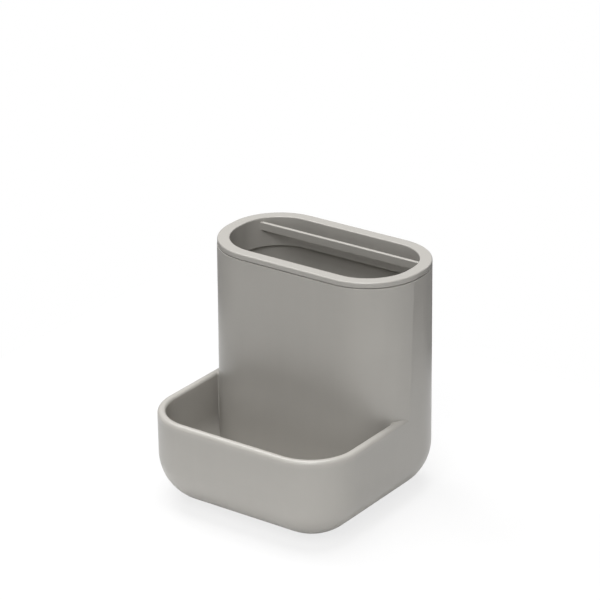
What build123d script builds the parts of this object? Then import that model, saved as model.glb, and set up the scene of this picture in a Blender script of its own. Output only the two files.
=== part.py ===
"""Makeup organizer: a tall brush cup behind an open tray, with a lift-out rim insert."""

import math
import os

from build123d import *

# Driving dimensions, in millimetres: the footprint
body_width = 109.5
tray_run = 47.9  # from the cup's front wall to the tray's front face
cup_side_run = 3.7  # straight part of the cup's side, between its round corners
cup_corner_radius = 28.3
bottom_round = 25.0
front_corner_margin = 0.8  # what the front plan corners have beyond the bottom rounding
rear_corner_margin = 1.8  # the same at the rear

# Heights above the surface that the organizer stands on
overall_height = 118.7
tray_height = 47.3
ring_height = 3.1

# The moulding
wall = 4.0
floor_thickness = 4.2
rim_outer_share = 0.5  # of the wall, rounded off the tray rim's outer edge
rim_inner_share = 0.4  # the same on its inner edge
cup_root_round = 4.0  # inside, where the cup's front wall meets the floor
wedge_round = 0.6  # in plan, where the tray narrows between its side wall and the cup
tray_root_share = 0.8  # of the wedge rounding, inside where the tray's floor meets the cup
seam_round = 0.5  # on both edges of the seam under the rim ring
corner_overhang = 0.2  # the cup's front corners run this far past the sides that trim them
front_lift = 0.05  # the cup's front is rounded off this far above the seam that trims it
cup_lean = 0.5  # degrees that the cup's front and its round corners lean back

# The rim insert
insert_clearance = 0.3
skirt_thickness = 1.7
skirt_depth = 12.0
skirt_lead = 0.5  # chamfer on the skirt's lower outer edge
ring_outer_round = 0.8
ring_inner_round = 0.6
bar_thickness = 1.8
bar_height = 4.0
bar_recess = 2.0  # below the top of the ring
bar_round = 0.4
rear_slot = 9.0  # between the cross bar and the ring's rear inner face

# The non-slip feet
foot_diameter = 9.0
foot_thickness = 1.6
foot_stand = 0.8  # how far a foot stands out of its pocket
foot_margin = 4.0  # from the edge of the flat underside
foot_clearance = 0.15
foot_round = 0.3

# How far a cut runs past what it cuts
overrun = 5.0

# Derived sizes
front_corner_radius = bottom_round + front_corner_margin
rear_corner_radius = bottom_round + rear_corner_margin
cup_depth = rear_corner_radius + cup_side_run + cup_corner_radius
body_depth = cup_depth + tray_run
rear_y = body_depth / 2
cup_front_y = rear_y - cup_depth
cup_middle_y = rear_y - cup_depth / 2
floor_top = foot_stand + floor_thickness
inner_round = bottom_round - wall
tray_root_round = wedge_round * tray_root_share
rim_outer_round = wall * rim_outer_share
rim_inner_round = wall * rim_inner_share
seam_height = overall_height - ring_height
front_top = seam_height + front_lift
rim_lean = (seam_height - tray_height) * math.tan(math.radians(cup_lean))
skirt_inset = wall + insert_clearance
ring_width = skirt_inset + skirt_thickness
bar_y = rear_y - ring_width - rear_slot - bar_thickness / 2
foot_x = body_width / 2 - bottom_round - foot_margin - foot_diameter / 2
foot_y = rear_y - bottom_round - foot_margin - foot_diameter / 2
pocket_depth = foot_thickness - foot_stand


def footprint(height, inset=0):
    """Sketch the whole plan at a height, drawn in from the outer wall by an inset."""
    with BuildSketch(Plane.XY.offset(height)) as plan:
        Rectangle(body_width - 2 * inset, body_depth - 2 * inset)
        fillet(plan.vertices().group_by(Axis.Y)[0], front_corner_radius - inset)
        fillet(plan.vertices().group_by(Axis.Y)[-1], rear_corner_radius - inset)
    return plan.sketch


def cup_plan(height, inset=0):
    """Sketch the cup's own plan at a height, drawn in from its outer wall by an inset."""
    with BuildSketch(Plane.XY.offset(height)) as plan:
        with Locations((0, cup_middle_y)):
            Rectangle(body_width - 2 * inset, cup_depth - 2 * inset)
        fillet(plan.vertices().group_by(Axis.Y)[0], cup_corner_radius - inset)
        fillet(plan.vertices().group_by(Axis.Y)[-1], rear_corner_radius - inset)
    return plan.sketch


def cup_front(height, inset=0):
    """Sketch the cup's front and round corners, run on past the side and rear walls."""
    with BuildSketch(Plane.XY.offset(height)) as plan:
        with Locations((0, cup_front_y + inset)):
            Rectangle(
                body_width + 2 * corner_overhang - 2 * inset,
                cup_depth + overrun,
                align=(Align.CENTER, Align.MIN),
            )
        fillet(plan.vertices().group_by(Axis.Y)[0], cup_corner_radius - inset)
    return plan.sketch


os.makedirs("parts", exist_ok=True)

# The outer form at full height, with its rounded underside and the upper edge at the seam
with BuildPart() as outer_form:
    extrude(footprint(foot_stand), amount=seam_height - foot_stand)
    fillet(outer_form.faces().sort_by(Axis.Z)[0].edges(), bottom_round)
    fillet(outer_form.faces().sort_by(Axis.Z)[-1].edges(), seam_round)

# The space inside the outer walls, rounded like the outside
with BuildPart() as hollow:
    extrude(footprint(floor_top, wall), amount=seam_height - floor_top + overrun)
    fillet(hollow.faces().sort_by(Axis.Z)[0].edges(), inner_round)

# The solid column that the cup is hollowed from, with its front leaning back from the foot up
with BuildPart() as cup_column:
    extrude(cup_front(front_top), amount=-front_top, taper=-cup_lean)
    fillet(cup_column.faces().sort_by(Axis.Z)[-1].edges(), seam_round)
    add(outer_form.part, mode=Mode.INTERSECT)

# The space inside the cup
with BuildPart() as cup_space:
    extrude(cup_front(floor_top, wall), amount=seam_height - floor_top + overrun)
    floor_edges = cup_space.faces().sort_by(Axis.Z)[0].edges()
    fillet(floor_edges.sort_by(Axis.Y)[:-1], cup_root_round)
    add(hollow.part, mode=Mode.INTERSECT)

# The space inside the tray: a rounded wedge on each side of the cup, and a front that the hollow trims
with BuildPart() as tray_space:
    with BuildSketch(Plane.XY.offset(floor_top)) as tray_plan:
        with Locations((0, -rear_y - overrun)):
            Rectangle(body_width - 2 * wall, body_depth + overrun, align=(Align.CENTER, Align.MIN))
        add(cup_front(0, corner_overhang - rim_lean), mode=Mode.SUBTRACT)
        fillet(tray_plan.vertices().group_by(Axis.Y)[-1], wedge_round)
    extrude(amount=tray_height - floor_top + overrun)
    fillet(tray_space.faces().sort_by(Axis.Z)[0].edges(), tray_root_round)
    add(hollow.part, mode=Mode.INTERSECT)

# One moulding: the tray with its rounded rim, and the cup that rises from its rear half
with BuildPart() as organizer_body:
    extrude(footprint(foot_stand), amount=tray_height - foot_stand)
    fillet(organizer_body.faces().sort_by(Axis.Z)[0].edges(), bottom_round)
    add(tray_space.part, mode=Mode.SUBTRACT)
    rim_top = organizer_body.faces().sort_by(Axis.Z)[-1]
    fillet(rim_top.outer_wire().edges(), rim_outer_round)
    rim_top = organizer_body.faces().sort_by(Axis.Z)[-1]
    fillet(rim_top.inner_wires().edges(), rim_inner_round)
    add(cup_column.part)
    add(cup_space.part, mode=Mode.SUBTRACT)
    with BuildSketch(Plane.XY.offset(foot_stand)):
        with GridLocations(2 * foot_x, 2 * foot_y, 2, 2):
            Circle(foot_diameter / 2 + foot_clearance)
    extrude(amount=pocket_depth, mode=Mode.SUBTRACT)
organizer_body.part.label = "organizer_body"
export_step(organizer_body.part, "parts/organizer_body.step")

# The lift-out insert: rim ring, skirt inside the cup, and cross bar before the rear slot
with BuildPart() as cup_insert:
    extrude(cup_plan(seam_height), amount=ring_height)
    extrude(cup_plan(seam_height, skirt_inset), amount=-skirt_depth)
    mouth_plan = cup_plan(seam_height - skirt_depth, ring_width)
    extrude(mouth_plan, amount=skirt_depth + ring_height, mode=Mode.SUBTRACT)
    ring_top = cup_insert.faces().sort_by(Axis.Z)[-1]
    fillet(ring_top.outer_wire().edges(), ring_outer_round)
    ring_top = cup_insert.faces().sort_by(Axis.Z)[-1]
    fillet(ring_top.inner_wires().edges(), ring_inner_round)
    ring_under = cup_insert.faces().filter_by(Plane.XY).group_by(Axis.Z)[-2].sort_by(SortBy.AREA)[-1]
    fillet(ring_under.outer_wire().edges(), seam_round)
    skirt_end = cup_insert.faces().sort_by(Axis.Z)[0]
    chamfer(skirt_end.outer_wire().edges(), skirt_lead)
    with BuildSketch(Plane.XY.offset(overall_height - bar_recess)) as bar_plan:
        with Locations((0, bar_y)):
            Rectangle(body_width, bar_thickness)
        with BuildSketch(mode=Mode.PRIVATE) as bar_limit:
            with Locations((0, cup_middle_y)):
                Rectangle(body_width - 2 * skirt_inset, cup_depth - 2 * skirt_inset)
            fillet(bar_limit.vertices().group_by(Axis.Y)[-1], rear_corner_radius - skirt_inset)
        add(bar_limit.sketch, mode=Mode.INTERSECT)
    extrude(amount=-bar_height)
    bar_edges = cup_insert.edges().filter_by(Axis.X)
    bar_edges = bar_edges.filter_by_position(Axis.Y, bar_y - bar_thickness, bar_y + bar_thickness)
    fillet(bar_edges.group_by(Axis.Z)[-1], bar_round)
cup_insert.part.label = "cup_insert"
export_step(cup_insert.part, "parts/cup_insert.step")

# Four round non-slip feet, each seated in a pocket of the underside
foot_places = {
    "front_left_foot": (-foot_x, -foot_y),
    "front_right_foot": (foot_x, -foot_y),
    "rear_left_foot": (-foot_x, foot_y),
    "rear_right_foot": (foot_x, foot_y),
}
for foot_name, foot_place in foot_places.items():
    with BuildPart() as foot:
        with BuildSketch():
            with Locations(foot_place):
                Circle(foot_diameter / 2)
        extrude(amount=foot_thickness)
        fillet(foot.faces().sort_by(Axis.Z)[0].edges(), foot_round)
    foot.part.label = foot_name
    export_step(foot.part, f"parts/{foot_name}.step")
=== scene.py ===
"""Makeup organizer: finishes, insert, feet and studio stage around the packed model."""

import math

import bpy
from mathutils import Euler, Matrix, Vector


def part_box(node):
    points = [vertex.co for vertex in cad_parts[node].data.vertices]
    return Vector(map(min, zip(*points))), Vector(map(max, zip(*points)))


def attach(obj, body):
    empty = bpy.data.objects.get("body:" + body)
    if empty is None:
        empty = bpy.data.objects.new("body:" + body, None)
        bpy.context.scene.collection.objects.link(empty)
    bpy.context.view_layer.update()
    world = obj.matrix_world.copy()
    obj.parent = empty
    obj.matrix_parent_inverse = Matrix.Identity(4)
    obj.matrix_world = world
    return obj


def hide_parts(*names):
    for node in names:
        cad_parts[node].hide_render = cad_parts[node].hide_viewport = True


bl_info = {
    "name": "Makeup Organizer",
    "version": (1, 0, 0),
    "blender": (4, 5, 0),
    "location": "View3D > Sidebar > Organizer",
    "description": "Builds a moulded makeup organizer with a lift-out cup insert",
    "category": "Add Mesh",
}

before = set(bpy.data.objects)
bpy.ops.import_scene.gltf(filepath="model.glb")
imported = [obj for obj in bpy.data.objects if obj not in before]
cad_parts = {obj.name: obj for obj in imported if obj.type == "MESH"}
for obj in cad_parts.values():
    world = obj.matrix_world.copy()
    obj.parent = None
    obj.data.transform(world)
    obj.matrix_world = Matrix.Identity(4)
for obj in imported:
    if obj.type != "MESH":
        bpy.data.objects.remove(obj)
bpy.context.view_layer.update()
INSERT_LOW, INSERT_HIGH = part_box("cup_insert")
BODY_LOW, BODY_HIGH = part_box("organizer_body")
FOOT_LOW, FOOT_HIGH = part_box("front_right_foot")
FOOT_NODES = ("front_left_foot", "front_right_foot", "rear_left_foot", "rear_right_foot")
MM = 0.001

# The worn parts and the tray's rim, whose paler colour is a painted highlight, in millimetres: each pair
# says where a fade starts and ends
RIM_CORNER = 25.8  # radius of the tray's front corners in plan
RIM_INSET = 4.0, 5.0  # in from the outer wall
RIM_RISE = 43.0, 46.3  # heights below the rim's edge
RIM_TOP = 47.5, 48.5  # heights above it
RIM_END = -8.0, 6.0  # towards the cup
RING_RISE = 2.5, 0.5  # depths below the top of the ring
TREAD_RISE = 0.15, 0.0  # heights above the ground

# The plastic: how its noises are drawn out, and how far each one reaches
NOISE_MEAN = 0.5
PATCH_SHARE = 0.7
STREAK_STRETCH = 1.0, 1.0, 0.12
STREAKS_PER_PATCH = 4.0
TONE_RANGE = 0.3, 0.7
SPECKLE_RANGE = 0.35, 0.68
SPECKLE_SHARE = 0.35
SPECKLE_SHADE = 1.05
RUB_STRETCH = 0.5, 0.5, 4.0
RUB_SCALE = 0.9
RUB_RANGE = 0.62, 0.74
RUB_ROUGHNESS = 0.04
LEAST_PALING = 0.6
ROUGHNESS_SPREAD = 0.08
WAVE_STRENGTH = 0.25
GRAIN_STRENGTH = 0.5
PLASTIC_IOR = 1.49

# The rubber of the feet
PORE_SCALE = 5.0
PORE_STRENGTH = 0.6
PORE_ROUGHNESS = 0.2
CLOUD_SCALE = 0.35
CLOUD_SHADES = 0.85, 1.15
TREAD_SHARE = 0.6
TREAD_SHADE = 1.6
TREAD_GLOSS = 0.08
RUBBER_IOR = 1.5

# Steps along round corners and edges, and the small roundings of hidden edges
CORNER_STEPS = 40
RING_EDGE_STEPS = 8
BAR_EDGE_STEPS = 5
FOOT_EDGE_STEPS = 6
FOOT_SIDES = 64
SKIRT_INNER_ROUND = 0.2 * MM
BAR_UNDER_ROUND = 0.15 * MM
FOOT_TOP_ROUND = 0.12 * MM
HOLLOW_ROUND = 0.2 * MM
HOLLOW_SHARES = 0.3, 0.45
WELD_DISTANCE = 0.005 * MM
SHARP_ANGLE = math.radians(35.0)


class Wire:
    """A node socket that adds Math nodes to its tree when it stands in an expression."""

    def __init__(self, tree, socket):
        self.tree = tree
        self.socket = socket

    def maths(self, operation, first, second=0.0):
        """Add one Math node on two wires or numbers."""
        return self.tree.add("ShaderNodeMath", {"operation": operation}, {0: first, 1: second})

    def __add__(self, other):
        return self.maths("ADD", self, other)

    def __radd__(self, other):
        return self.maths("ADD", other, self)

    def __sub__(self, other):
        return self.maths("SUBTRACT", self, other)

    def __rsub__(self, other):
        return self.maths("SUBTRACT", other, self)

    def __mul__(self, other):
        return self.maths("MULTIPLY", self, other)

    def __rmul__(self, other):
        return self.maths("MULTIPLY", other, self)

    def __truediv__(self, other):
        return self.maths("DIVIDE", self, other)

    def __rtruediv__(self, other):
        return self.maths("DIVIDE", other, self)

    def __neg__(self):
        return self.maths("MULTIPLY", self, -1.0)

    def __pow__(self, other):
        return self.maths("POWER", self, other)

    def __rpow__(self, other):
        return self.maths("POWER", other, self)

    def __abs__(self):
        return self.maths("ABSOLUTE", self)

    def at_least(self, other):
        """The larger of the two values."""
        return self.maths("MAXIMUM", self, other)


class Tree:
    """Adds nodes to one shader or geometry tree."""

    def __init__(self, nodes):
        self.nodes = nodes

    def add(self, kind, settings=None, inputs=None, output=0):
        """Add one node: its settings first, then its sockets' values or links, several in a list."""
        node = self.nodes.nodes.new(kind)
        for name, value in (settings or {}).items():
            if name == "choices":
                while len(node.index_switch_items) < value:
                    node.index_switch_items.new()
            else:
                setattr(node, name, value)
        for name, value in (inputs or {}).items():
            socket = node.inputs[name]
            if isinstance(value, Wire):
                self.nodes.links.new(value.socket, socket)
            elif isinstance(value, list):
                for wire in value:
                    self.nodes.links.new(wire.socket, socket)
            else:
                socket.default_value = value
        return Wire(self, node.outputs[output]) if len(node.outputs) else node

    def split(self, kind, names, inputs=None):
        """Add one node and return a wire for each of the named outputs."""
        node = self.add(kind, None, inputs, names[0]).socket.node
        return [Wire(self, node.outputs[name]) for name in names]

    def vector(self, x=0.0, y=0.0, z=0.0):
        """Join three values into a vector."""
        return self.add("ShaderNodeCombineXYZ", None, {"X": x, "Y": y, "Z": z})

    def between(self, value, low, high, result_low=0.0, result_high=1.0):
        """Fade a value smoothly from one result to another."""
        return self.add(
            "ShaderNodeMapRange",
            {"interpolation_type": "SMOOTHSTEP"},
            {
                "Value": value,
                "From Min": low,
                "From Max": high,
                "To Min": result_low,
                "To Max": result_high,
            },
        )


def cleared(owner):
    """The node tree of a material or a world, emptied."""
    owner.use_nodes = True
    owner.node_tree.nodes.clear()
    return owner.node_tree


class Finish(Tree):
    """One procedural finish on object coordinates, measured in millimetres."""

    def __init__(self, name):
        self.material = bpy.data.materials.new(name)
        super().__init__(cleared(self.material))
        place = self.add("ShaderNodeTexCoord", None, None, "Object")
        self.place = self.scaled(place, 1 / MM)

    def scaled(self, vector, factor):
        """Make a vector longer by a factor."""
        return self.add("ShaderNodeVectorMath", {"operation": "SCALE"}, {0: vector, "Scale": factor})

    def stretched(self, x, y, z):
        """The place with each coordinate taken by its own factor."""
        return self.add("ShaderNodeVectorMath", {"operation": "MULTIPLY"}, {0: self.place, 1: (x, y, z)})

    def noise(self, vector, scale, detail=2.0, roughness=0.5, distortion=0.0):
        """A noise from 0 to 1 with so many patches per millimetre."""
        return self.add(
            "ShaderNodeTexNoise",
            {"normalize": True},
            {
                "Vector": vector,
                "Scale": scale,
                "Detail": detail,
                "Roughness": roughness,
                "Distortion": distortion,
            },
        )

    def axes(self):
        """The place's three coordinates."""
        return self.split("ShaderNodeSeparateXYZ", "XYZ", {0: self.place})

    def mix(self, factor, first, second):
        """Blend two colours. Their sockets go by number, as other sockets have the same names."""
        return self.add(
            "ShaderNodeMix",
            {"data_type": "RGBA", "blend_type": "MIX"},
            {"Factor": factor, 6: first, 7: second},
            2,
        )

    def bump(self, value, strength, depth_mm, normal=None):
        """Raise the surface by a value, on top of another bump if one is given."""
        inputs = {"Height": value, "Strength": strength, "Distance": depth_mm * MM}
        if normal is not None:
            inputs["Normal"] = normal
        return self.add("ShaderNodeBump", None, inputs)

    def surface(self, **sockets):
        """Close the finish with one principled shader."""
        inputs = {name.replace("_", " ").title().replace("Ior", "IOR"): v for name, v in sockets.items()}
        shader = self.add("ShaderNodeBsdfPrincipled", None, inputs)
        self.add("ShaderNodeOutputMaterial", None, {"Surface": shader})
        return self.material


def shade(colour, factor):
    """A colour made lighter or darker, opaque."""
    return tuple(min(channel * factor, 1.0) for channel in colour[:3]) + (1.0,)


def tray_rim(finish):
    """1 on the tray's rim, by the distance in from the outer wall and its round corners."""
    x, y, z = finish.axes()
    side = (abs(x) - (BODY_HIGH.x / MM - RIM_CORNER)).at_least(0.0)
    front = (BODY_LOW.y / MM + RIM_CORNER - y).at_least(0.0)
    inset = RIM_CORNER - (side * side + front * front) ** 0.5
    wall = finish.between(inset, *RIM_INSET, 1.0, 0.0)
    level = finish.between(z, *RIM_RISE) * finish.between(z, *RIM_TOP, 1.0, 0.0)
    return wall * level * finish.between(y, *RIM_END, 1.0, 0.0)


def ring_top(finish):
    """1 on the upper edges of the insert's ring."""
    low, high = (INSERT_HIGH.z / MM - depth for depth in RING_RISE)
    return finish.between(finish.axes()[2], low, high)


def moulded_plastic(name, look, polished_and_highlit_part, wear_and_highlight):
    """Satin plastic: a fine spark-eroded grain, soft tone drift, and one part polished and painted paler:
    a painted highlight on the tray's rim, handling wear on the insert's ring.
    """
    finish = Finish(name)
    drift = finish.noise(finish.place, look.drift_scale, detail=3.0, roughness=0.55)
    streak_scale = look.drift_scale * STREAKS_PER_PATCH
    streaks = finish.noise(finish.stretched(*STREAK_STRETCH), streak_scale, distortion=0.3)
    grain = finish.noise(finish.place, look.grain_scale, detail=3.0, roughness=0.6)
    wave = finish.noise(finish.place, look.wave_scale, detail=1.0, roughness=0.4)
    rub_place = finish.stretched(*RUB_STRETCH)
    rubs = finish.noise(rub_place, RUB_SCALE, detail=3.0, roughness=0.7, distortion=0.8)
    rub_mask = finish.between(rubs, *RUB_RANGE)
    tone = finish.between(drift * PATCH_SHARE + streaks * (1 - PATCH_SHARE), *TONE_RANGE)
    colour = finish.mix(tone, shade(look.colour, 1 - look.drift), shade(look.colour, 1 + look.drift))
    speckle = finish.between(grain, *SPECKLE_RANGE)
    colour = finish.mix(speckle * SPECKLE_SHARE, colour, shade(look.colour, SPECKLE_SHADE))
    # The given part is painted paler by the given share, which is a painted highlight on the tray's rim;
    # it is also polished
    polished_and_highlit = polished_and_highlit_part(finish)
    worn_and_highlit = polished_and_highlit * (tone * (1 - LEAST_PALING) + LEAST_PALING)
    colour = finish.mix(worn_and_highlit, colour, shade(look.colour, 1 + wear_and_highlight))
    uneven = (drift - NOISE_MEAN) * ROUGHNESS_SPREAD + (grain - NOISE_MEAN) * ROUGHNESS_SPREAD
    rough = look.roughness + uneven - polished_and_highlit * RUB_ROUGHNESS + rub_mask * RUB_ROUGHNESS
    rough = rough.at_least(look.gloss_limit)
    normal = finish.bump(wave, WAVE_STRENGTH, look.wave_depth)
    normal = finish.bump(grain, GRAIN_STRENGTH, look.grain_depth, normal)
    return finish.surface(base_color=colour, roughness=rough, normal=normal, ior=PLASTIC_IOR)


def foot_rubber(name, look):
    """Dull cast rubber with fine pores and a worn, paler tread."""
    finish = Finish(name)
    pores = finish.noise(finish.place, PORE_SCALE, detail=3.0, roughness=0.65)
    cloud = finish.noise(finish.place, CLOUD_SCALE)
    tread = finish.between(finish.axes()[2], *TREAD_RISE)
    dark, pale = (shade(look.colour, factor) for factor in CLOUD_SHADES)
    colour = finish.mix(cloud, dark, pale)
    colour = finish.mix(tread * cloud * TREAD_SHARE, colour, shade(look.colour, TREAD_SHADE))
    rough = look.roughness + (pores - NOISE_MEAN) * PORE_ROUGHNESS - tread * TREAD_GLOSS
    normal = finish.bump(pores, PORE_STRENGTH, look.grain_depth)
    return finish.surface(base_color=colour, roughness=rough, normal=normal, ior=RUBBER_IOR)


def length(name, description, default):
    """A length that the panel shows in the scene's units."""
    return bpy.props.FloatProperty(
        name=name, description=description, default=default, min=0.0, precision=4, unit="LENGTH"
    )


def angle(name, description, degrees):
    """An angle, written here in degrees."""
    return bpy.props.FloatProperty(
        name=name, description=description, default=math.radians(degrees), subtype="ANGLE"
    )


def plain(name, description, default):
    """A number without a unit."""
    return bpy.props.FloatProperty(name=name, description=description, default=default)


def tint(name, description, default):
    """A colour."""
    return bpy.props.FloatVectorProperty(
        name=name, description=description, default=default, min=0.0, max=1.0, subtype="COLOR"
    )


class OrganizerPlastic(bpy.types.PropertyGroup):
    """The satin moulded plastic of body and insert."""

    colour: tint("Colour", "Warm light grey of the plastic", (0.400, 0.385, 0.357))
    roughness: plain("Roughness", "Mean roughness of the satin surface", 0.35)
    gloss_limit: plain("Gloss limit", "Least roughness of the polished parts", 0.29)
    # Painted highlight: how much paler the tray's rim is painted
    rim_wear: plain("Rim wear", "How much paler handling has left the tray's rim", 0.16)
    ring_wear: plain("Ring wear", "How much paler handling has left the insert's ring", 0.02)
    drift: plain("Tone drift", "How far the tone drifts up or down", 0.025)
    drift_scale: plain("Drift scale", "Tone patches per millimetre", 0.03)
    grain_scale: plain("Grain scale", "Moulded grains per millimetre", 2.4)
    grain_depth: plain("Grain depth", "Depth of the moulded grain in millimetres", 0.012)
    wave_scale: plain("Wave scale", "Slow waves of the surface per millimetre", 0.09)
    wave_depth: plain("Wave depth", "Depth of the slow waves in millimetres", 0.03)


class OrganizerRubber(bpy.types.PropertyGroup):
    """The rubber of the feet."""

    colour: tint("Colour", "Dull grey of the rubber", (0.085, 0.084, 0.08))
    roughness: plain("Roughness", "Mean roughness of the rubber", 0.78)
    grain_depth: plain("Pore depth", "Depth of the pores in millimetres", 0.03)


class OrganizerInsert(bpy.types.PropertyGroup):
    """Sizes of the lift-out insert."""

    width: length("Width", "Width of the rim ring", INSERT_HIGH.x - INSERT_LOW.x)
    depth: length("Depth", "Depth of the rim ring", INSERT_HIGH.y - INSERT_LOW.y)
    front_radius: length("Front radius", "Round front corners in plan", 28.3 * MM)
    rear_radius: length("Rear radius", "Round rear corners in plan", 26.8 * MM)
    ring_width: length("Ring width", "Width of the ring's flat section", 6.0 * MM)
    ring_height: length("Ring height", "Height of the ring above the seam", 3.1 * MM)
    skirt: length("Skirt", "Thickness of the skirt inside the cup", 1.7 * MM)
    skirt_depth: length("Skirt depth", "Depth of the skirt below the seam", 12.0 * MM)
    outer_round: length("Outer rounding", "Rounding of the ring's upper outer edge", 0.8 * MM)
    inner_round: length("Inner rounding", "Rounding of the ring's upper inner edge", 0.6 * MM)
    seam_round: length("Seam rounding", "Rounding of the ring's lower edge", 0.3 * MM)
    gap_height: length("Gap height", "Height of the shadow gap under the ring", 0.35 * MM)
    gap_depth: length("Gap depth", "Depth of the shadow gap under the ring", 1.6 * MM)
    bar_thickness: length("Bar thickness", "Thickness of the cross bar", 1.8 * MM)
    bar_height: length("Bar height", "Height of the cross bar", 4.0 * MM)
    bar_recess: length("Bar recess", "Depth of the bar below the ring's top", 2.0 * MM)
    bar_round: length("Bar rounding", "Rounding of the bar's upper edges", 0.4 * MM)
    rear_slot: length("Rear slot", "Gap between the bar and the ring's rear", 9.0 * MM)


class OrganizerFeet(bpy.types.PropertyGroup):
    """Sizes of the four feet."""

    diameter: length("Diameter", "Diameter of one foot", FOOT_HIGH.x - FOOT_LOW.x)
    thickness: length("Thickness", "Thickness of one foot", FOOT_HIGH.z - FOOT_LOW.z)
    rounding: length("Rounding", "Rounding of the lower edge", 0.3 * MM)
    hollow: length("Hollow", "Depth of the hollow in the tread", 0.15 * MM)
    spread_x: length("Spread across", "Distance between left and right feet", FOOT_LOW.x + FOOT_HIGH.x)
    spread_y: length("Spread deep", "Distance between front and rear feet", -FOOT_LOW.y - FOOT_HIGH.y)


class OrganizerStage(bpy.types.PropertyGroup):
    """Camera and studio light."""

    azimuth: angle("Azimuth", "Camera turned round from the front towards the right", 36.01)
    elevation: angle("Elevation", "Camera above the level", 23.289)
    roll: angle("Roll", "Camera turned about its own line of sight", -0.729)
    distance: length("Distance", "Camera to the point it looks at", 1.4)
    target: bpy.props.FloatVectorProperty(
        name="Target",
        description="Point that the camera looks at",
        default=(-15.452 * MM, 26.111 * MM, 86.8 * MM),
        subtype="XYZ",
        unit="LENGTH",
    )
    lens: plain("Lens", "Focal length in millimetres on a 36 mm wide sensor", 175.188)
    sky: plain("Sky", "Level of the soft light from all round", 0.03)
    top: plain("Top light", "Level of the softbox overhead", 0.71)
    left: plain("Left light", "Level of the softbox high on the left", 0.37)
    front: plain("Front light", "Level of the softbox high at the front", 0.44)
    low: plain("Low light", "Level of the low softbox at the front", 0.11)
    right: plain("Right light", "Level of the low fill at the front right", 0.03)
    back: plain("Back light", "Level of the softbox behind", 0.10)
    floor: tint("Floor", "Colour of the floor", (0.85, 0.85, 0.85))


def new_piece(name):
    """An empty mesh object in the scene."""
    piece = bpy.data.objects.new(name, bpy.data.meshes.new(name))
    bpy.context.scene.collection.objects.link(piece)
    return piece


def new_tree(name):
    """An empty Geometry Nodes tree with one output."""
    nodes = bpy.data.node_groups.new(name, "GeometryNodeTree")
    nodes.interface.new_socket("Geometry", in_out="OUTPUT", socket_type="NodeSocketGeometry")
    return Tree(nodes)


def named_inputs(tree, sizes, names):
    """Give the tree one named length input for each size and return their wires."""
    for name in names:
        socket = tree.nodes.interface.new_socket(name, in_out="INPUT", socket_type="NodeSocketFloat")
        socket.subtype = "DISTANCE"
        socket.default_value = getattr(sizes, name)
    return dict(zip(names, tree.split("NodeGroupInput", names)))


def by_index(tree, values, kind):
    """A field that takes one of the values by the point's index."""
    index = tree.add("GeometryNodeInputIndex")
    inputs = {"Index": index}
    inputs.update({number + 1: value for number, value in enumerate(values)})
    return tree.add("GeometryNodeIndexSwitch", {"data_type": kind, "choices": len(values)}, inputs)


def rounded_section(tree, corners, radii, steps, closed=True):
    """A section through the corners, each rounded by its own radius."""
    points = tree.add("GeometryNodePoints", None, {"Count": len(corners)})
    curve = tree.add("GeometryNodePointsToCurves", None, {"Points": points})
    curve = tree.add("GeometryNodeSetSplineCyclic", None, {"Geometry": curve, "Cyclic": closed})
    places = by_index(tree, [tree.vector(x, y) for x, y in corners], "VECTOR")
    curve = tree.add("GeometryNodeSetPosition", None, {"Geometry": curve, "Position": places})
    return tree.add(
        "GeometryNodeFilletCurve",
        {"mode": "POLY"},
        {"Curve": curve, "Count": steps, "Radius": by_index(tree, radii, "FLOAT"), "Limit Radius": True},
    )


def swept(tree, path, section):
    """Sweep a section along a level path, with its first axis outwards and its second down."""
    path = tree.add("GeometryNodeSetCurveNormal", {"mode": "Z_UP"}, {"Curve": path})
    return tree.add(
        "GeometryNodeCurveToMesh", None, {"Curve": path, "Profile Curve": section, "Fill Caps": True}
    )


def finish_tree(tree, shape, material):
    """End a tree: real faces with their material."""
    shape = tree.add("GeometryNodeRealizeInstances", None, {"Geometry": shape})
    shape = tree.add("GeometryNodeSetMaterial", None, {"Geometry": shape, "Material": material})
    tree.add("NodeGroupOutput", None, {0: shape})


def settle(piece, modifier):
    """Give the piece the plain mesh that its modifier makes, and remove the modifier."""
    graph = bpy.context.evaluated_depsgraph_get()
    mesh = bpy.data.meshes.new_from_object(piece.evaluated_get(graph), depsgraph=graph)
    piece.modifiers.remove(modifier)
    piece.data = mesh
    mesh.name = piece.name
    return mesh


def grow(piece, tree, sizes, names, material):
    """Run the tree on the piece and leave a plain mesh with clean normals."""
    modifier = piece.modifiers.new("Shape", "NODES")
    modifier.node_group = tree.nodes
    for socket in tree.nodes.interface.items_tree:
        if socket.in_out == "INPUT" and socket.name in names:
            modifier[socket.identifier] = getattr(sizes, socket.name)
    mesh = settle(piece, modifier)
    if not len(mesh.polygons):
        raise RuntimeError(f"{piece.name} came out empty")
    mesh.shade_smooth()
    mesh.set_sharp_from_angle(angle=SHARP_ANGLE)
    weighted = piece.modifiers.new("Normals", "WEIGHTED_NORMAL")
    weighted.keep_sharp = True
    mesh = settle(piece, weighted)
    if material.name not in mesh.materials:
        mesh.materials.append(material)


class ORGANIZER_OT_body(bpy.types.Operator):
    """Finish the moulded body"""

    bl_idname = "organizer.body"
    bl_label = "Moulded Body"

    def execute(self, context):
        look = context.scene.organizer_plastic
        # The tray's rim is painted paler, as a painted highlight
        material = moulded_plastic("body_plastic", look, tray_rim, look.rim_wear)
        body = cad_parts["organizer_body"]
        body.data.materials.clear()
        body.data.materials.append(material)
        return {"FINISHED"}


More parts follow.
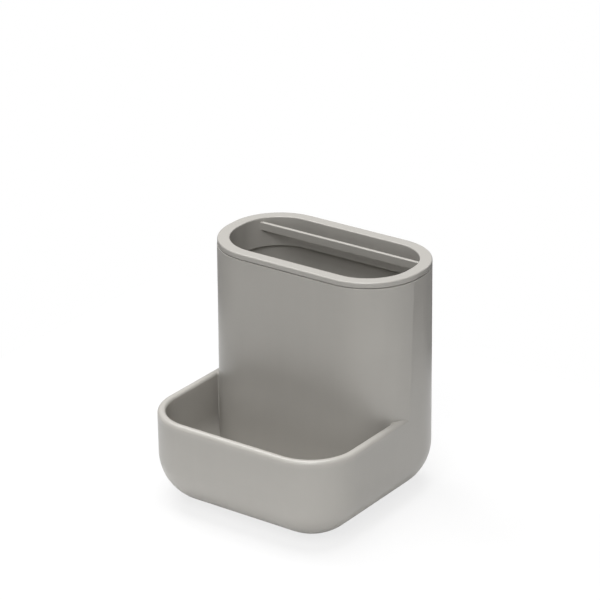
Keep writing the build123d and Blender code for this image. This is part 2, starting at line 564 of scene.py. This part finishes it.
class ORGANIZER_OT_insert(bpy.types.Operator):
    """Build the lift-out insert: rim ring, skirt and cross bar"""

    bl_idname = "organizer.insert"
    bl_label = "Cup Insert"

    def execute(self, context):
        sizes = context.scene.organizer_insert
        names = list(OrganizerInsert.__annotations__)
        look = context.scene.organizer_plastic
        material = moulded_plastic("insert_plastic", look, ring_top, look.ring_wear)
        tree = new_tree("insert_shape")
        size = named_inputs(tree, sizes, names)
        middle = (INSERT_LOW.y + INSERT_HIGH.y) / 2
        seam = INSERT_LOW.z + sizes.skirt_depth
        path = self.plan(tree, size, middle, seam)
        ring = swept(tree, path, self.ring_section(tree, size))
        bar = self.cross_bar(tree, size, middle, seam)
        shape = tree.add(
            "GeometryNodeMeshBoolean",
            {"operation": "UNION", "solver": "EXACT"},
            {"Mesh 2": [ring, bar]},
        )
        finish_tree(tree, shape, material)
        piece = new_piece("rim_insert")
        grow(piece, tree, sizes, names, material)
        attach(piece, "insert")
        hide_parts("cup_insert")
        return {"FINISHED"}

    @staticmethod
    def plan(tree, size, middle, seam):
        """The ring's outline in plan, at the height of the seam."""
        path = tree.add(
            "GeometryNodeCurvePrimitiveQuadrilateral",
            {"mode": "RECTANGLE"},
            {"Width": size["width"], "Height": size["depth"]},
        )
        place = tree.add("GeometryNodeInputPosition")
        depth = tree.add("ShaderNodeSeparateXYZ", None, {0: place}, "Y")
        front = tree.add("FunctionNodeCompare", {"operation": "LESS_THAN"}, {"A": depth, "B": 0.0})
        radius = tree.add(
            "GeometryNodeSwitch",
            {"input_type": "FLOAT"},
            {"Switch": front, "False": size["rear_radius"], "True": size["front_radius"]},
        )
        path = tree.add(
            "GeometryNodeFilletCurve",
            {"mode": "POLY"},
            {"Curve": path, "Count": CORNER_STEPS, "Radius": radius, "Limit Radius": True},
        )
        return tree.add(
            "GeometryNodeSetPosition", None, {"Geometry": path, "Offset": (0.0, middle, seam)}
        )

    @staticmethod
    def ring_section(tree, size):
        """The section through ring and skirt, measured inwards from the outline and down from the seam."""
        outer, inner = 0.0, -size["ring_width"]
        skirt = inner + size["skirt"]
        top, foot = -size["ring_height"], size["skirt_depth"]
        gap, land = -size["gap_height"], -size["gap_depth"]
        corners = [(inner, top), (outer, top), (outer, gap), (land, gap), (land, 0.0)]
        corners += [(skirt, 0.0), (skirt, foot), (inner, foot)]
        radii = [size["inner_round"], size["outer_round"], size["seam_round"], 0.0, 0.0, 0.0]
        radii += [size["seam_round"], SKIRT_INNER_ROUND]
        return rounded_section(tree, corners, radii, RING_EDGE_STEPS)

    @staticmethod
    def cross_bar(tree, size, middle, seam):
        """The bar that parts the rear slot from the mouth, let into the skirt at both ends."""
        rear = size["depth"] / 2 + middle - size["ring_width"] - size["rear_slot"]
        centre = rear - size["bar_thickness"] / 2
        corner = size["rear_radius"] - size["ring_width"] + size["skirt"] / 2
        corner_y = size["depth"] / 2 + middle - size["rear_radius"]
        reach = (corner * corner - (centre - corner_y) * (centre - corner_y)) ** 0.5
        end = size["width"] / 2 - size["rear_radius"] + reach
        level = size["ring_height"] - size["bar_recess"] + seam
        path = tree.add(
            "GeometryNodeCurvePrimitiveLine",
            None,
            {"Start": tree.vector(-end, centre, level), "End": tree.vector(end, centre, level)},
        )
        half = size["bar_thickness"] / 2
        corners = [(-half, 0.0), (half, 0.0), (half, size["bar_height"]), (-half, size["bar_height"])]
        radii = [size["bar_round"], size["bar_round"], BAR_UNDER_ROUND, BAR_UNDER_ROUND]
        return swept(tree, path, rounded_section(tree, corners, radii, BAR_EDGE_STEPS))


class ORGANIZER_OT_feet(bpy.types.Operator):
    """Build the four non-slip feet"""

    bl_idname = "organizer.feet"
    bl_label = "Feet"

    def execute(self, context):
        sizes = context.scene.organizer_feet
        names = list(OrganizerFeet.__annotations__)
        material = foot_rubber("foot_rubber", context.scene.organizer_rubber)
        tree = new_tree("feet_shape")
        size = named_inputs(tree, sizes, names)
        radius = size["diameter"] / 2
        lip, slope = HOLLOW_SHARES
        corners = [(-radius, -size["thickness"]), (0.0, -size["thickness"]), (0.0, 0.0)]
        corners += [(-radius * lip, 0.0), (-radius * slope, -size["hollow"]), (-radius, -size["hollow"])]
        radii = [0.0, FOOT_TOP_ROUND, size["rounding"], HOLLOW_ROUND, HOLLOW_ROUND, 0.0]
        section = rounded_section(tree, corners, radii, FOOT_EDGE_STEPS, closed=False)
        circle = tree.add(
            "GeometryNodeCurvePrimitiveCircle",
            {"mode": "RADIUS"},
            {"Resolution": FOOT_SIDES, "Radius": radius},
        )
        foot = swept(tree, circle, section)
        foot = tree.add("GeometryNodeMergeByDistance", None, {"Geometry": foot, "Distance": WELD_DISTANCE})
        grid = tree.add(
            "GeometryNodeMeshGrid",
            None,
            {"Size X": size["spread_x"], "Size Y": size["spread_y"], "Vertices X": 2, "Vertices Y": 2},
        )
        feet = tree.add("GeometryNodeInstanceOnPoints", None, {"Points": grid, "Instance": foot})
        finish_tree(tree, feet, material)
        piece = new_piece("non_slip_feet")
        grow(piece, tree, sizes, names, material)
        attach(piece, "organizer")
        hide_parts(*FOOT_NODES)
        return {"FINISHED"}


class ORGANIZER_OT_stage(bpy.types.Operator):
    """Set the floor, the soft light and the camera"""

    bl_idname = "organizer.stage"
    bl_label = "Studio Stage"

    FLOOR_LEFT, FLOOR_RIGHT = -0.22, 0.45
    FLOOR_FRONT, FLOOR_BACK = -0.22, 0.18
    WHITE = 1.0, 1.0, 1.0, 1.0
    WHITE_SHARE = 0.78
    MIRRORED_SHARE = 0.1
    MIRRORED_SKY = 0.6
    MIRRORED_GROUND = 0.25
    HORIZON = -0.06, 0.04
    SENSOR_WIDTH = 36.0
    CLIP_START = 0.05
    LAMP_AIM = Vector((0.0, 0.0, 0.06))
    # Each softbox: its name, the size that holds its level, its place and the length of its side
    LAMPS = (
        ("top_softbox", "top", (0.0, 0.0, 1.5), 0.8),
        ("left_softbox", "left", (-0.7, 0.1, 1.2), 0.6),
        ("front_softbox", "front", (0.45, -0.9, 1.1), 0.7),
        ("low_softbox", "low", (0.3, -1.4, 0.25), 0.5),
        ("right_fill", "right", (0.95, -0.8, 0.45), 0.6),
        ("back_softbox", "back", (0.1, 1.2, 0.8), 0.6),
    )

    def execute(self, context):
        stage = context.scene.organizer_stage
        context.scene.view_settings.view_transform = "Standard"
        self.set_floor(stage)
        self.set_sky(context, stage)
        self.set_lamps(context, stage)
        self.set_camera(context, stage)
        return {"FINISHED"}

    @staticmethod
    def seen_rays(tree):
        """1 for a ray straight from the camera, and 1 for a reflection or a look through glass."""
        names = ("Is Camera Ray", "Is Glossy Ray", "Is Transmission Ray")
        camera, glossy, through = tree.split("ShaderNodeLightPath", names)
        return camera, glossy.at_least(through)

    def set_floor(self, stage):
        """A pale floor that keeps the shadow and otherwise shows white to the camera."""
        floor = new_piece("studio_floor")
        near = [(x, self.FLOOR_FRONT, 0) for x in (self.FLOOR_LEFT, self.FLOOR_RIGHT)]
        far = [(x, self.FLOOR_BACK, 0) for x in (self.FLOOR_RIGHT, self.FLOOR_LEFT)]
        floor.data.from_pydata(near + far, [], [(0, 1, 2, 3)])
        material = bpy.data.materials.new("studio_floor")
        tree = Tree(cleared(material))
        paint = tree.add("ShaderNodeBsdfDiffuse", None, {"Color": tuple(stage.floor) + (1.0,)})
        white = tree.add("ShaderNodeEmission", None, {"Color": self.WHITE, "Strength": 1.0})
        camera, mirrored = self.seen_rays(tree)
        share = camera * self.WHITE_SHARE + mirrored * self.MIRRORED_SHARE
        shown = tree.add("ShaderNodeMixShader", None, {0: share, 1: paint, 2: white})
        tree.add("ShaderNodeOutputMaterial", None, {"Surface": shown})
        floor.data.materials.append(material)

    def set_sky(self, context, stage):
        """White behind the object, dimmer in reflections, and a faint soft light from all round."""
        world = bpy.data.worlds.new("studio_sky")
        context.scene.world = world
        tree = Tree(cleared(world))
        camera, mirrored = self.seen_rays(tree)
        unseen = 1 - camera.at_least(mirrored)
        way = tree.add("ShaderNodeTexCoord", output="Generated")
        up = tree.add("ShaderNodeSeparateXYZ", None, {0: way}, "Z")
        reflected = tree.between(up, *self.HORIZON, self.MIRRORED_GROUND, self.MIRRORED_SKY)
        strength = stage.sky * unseen + camera + mirrored * reflected
        sky = tree.add("ShaderNodeBackground", None, {"Color": self.WHITE, "Strength": strength})
        tree.add("ShaderNodeOutputWorld", None, {"Surface": sky})

    def set_lamps(self, context, stage):
        """Softboxes round the object, each with the level that it gives a white surface facing it."""
        for name, level, place, side in self.LAMPS:
            lamp = bpy.data.lights.new(name, "AREA")
            lamp.shape = "SQUARE"
            lamp.size = side
            lamp.energy = getattr(stage, level) * math.pi**2 * Vector(place).length_squared
            softbox = bpy.data.objects.new(name, lamp)
            softbox.location = place
            softbox.rotation_euler = (self.LAMP_AIM - Vector(place)).to_track_quat("-Z", "Y").to_euler()
            softbox.visible_camera = False
            context.scene.collection.objects.link(softbox)

    def set_camera(self, context, stage):
        """The camera, turned round the target by azimuth and elevation and then rolled."""
        lens = bpy.data.cameras.new("photo_camera")
        lens.sensor_fit = "HORIZONTAL"
        lens.sensor_width = self.SENSOR_WIDTH
        lens.lens = stage.lens
        lens.clip_start = self.CLIP_START
        camera = bpy.data.objects.new("photo_camera", lens)
        level = math.cos(stage.elevation)
        back = Vector(
            (
                math.sin(stage.azimuth) * level,
                -math.cos(stage.azimuth) * level,
                math.sin(stage.elevation),
            )
        )
        turn = Euler((math.pi / 2 - stage.elevation, 0.0, stage.azimuth)).to_matrix()
        turn = turn @ Matrix.Rotation(stage.roll, 3, "Z")
        place = Vector(stage.target) + back * stage.distance
        camera.matrix_world = Matrix.Translation(place) @ turn.to_4x4()
        context.scene.collection.objects.link(camera)
        context.scene.camera = camera


class ORGANIZER_PT_panel(bpy.types.Panel):
    """Lists the steps and their sizes in the sidebar"""

    bl_idname = "ORGANIZER_PT_panel"
    bl_label = "Makeup Organizer"
    bl_space_type = "VIEW_3D"
    bl_region_type = "UI"
    bl_category = "Organizer"

    def draw(self, context):
        for operator in OPERATORS:
            self.layout.operator(operator.bl_idname)
        for name, group in GROUPS.items():
            box = self.layout.box()
            box.label(text=group.__doc__)
            for size in group.__annotations__:
                box.prop(getattr(context.scene, name), size)


GROUPS = {
    "organizer_plastic": OrganizerPlastic,
    "organizer_rubber": OrganizerRubber,
    "organizer_insert": OrganizerInsert,
    "organizer_feet": OrganizerFeet,
    "organizer_stage": OrganizerStage,
}
OPERATORS = (ORGANIZER_OT_body, ORGANIZER_OT_insert, ORGANIZER_OT_feet, ORGANIZER_OT_stage)
CLASSES = tuple(GROUPS.values()) + OPERATORS + (ORGANIZER_PT_panel,)


def register():
    """Add the classes and put one group of sizes of each kind on the scene."""
    for item in CLASSES:
        bpy.utils.register_class(item)
    for name, group in GROUPS.items():
        setattr(bpy.types.Scene, name, bpy.props.PointerProperty(type=group))


def unregister():
    """Take the groups and the classes away again."""
    for name in GROUPS:
        delattr(bpy.types.Scene, name)
    for item in reversed(CLASSES):
        bpy.utils.unregister_class(item)


def main():
    """Build every piece and the stage."""
    register()
    bpy.ops.organizer.body()
    bpy.ops.organizer.insert()
    bpy.ops.organizer.feet()
    bpy.ops.organizer.stage()


if __name__ == "__main__":
    main()
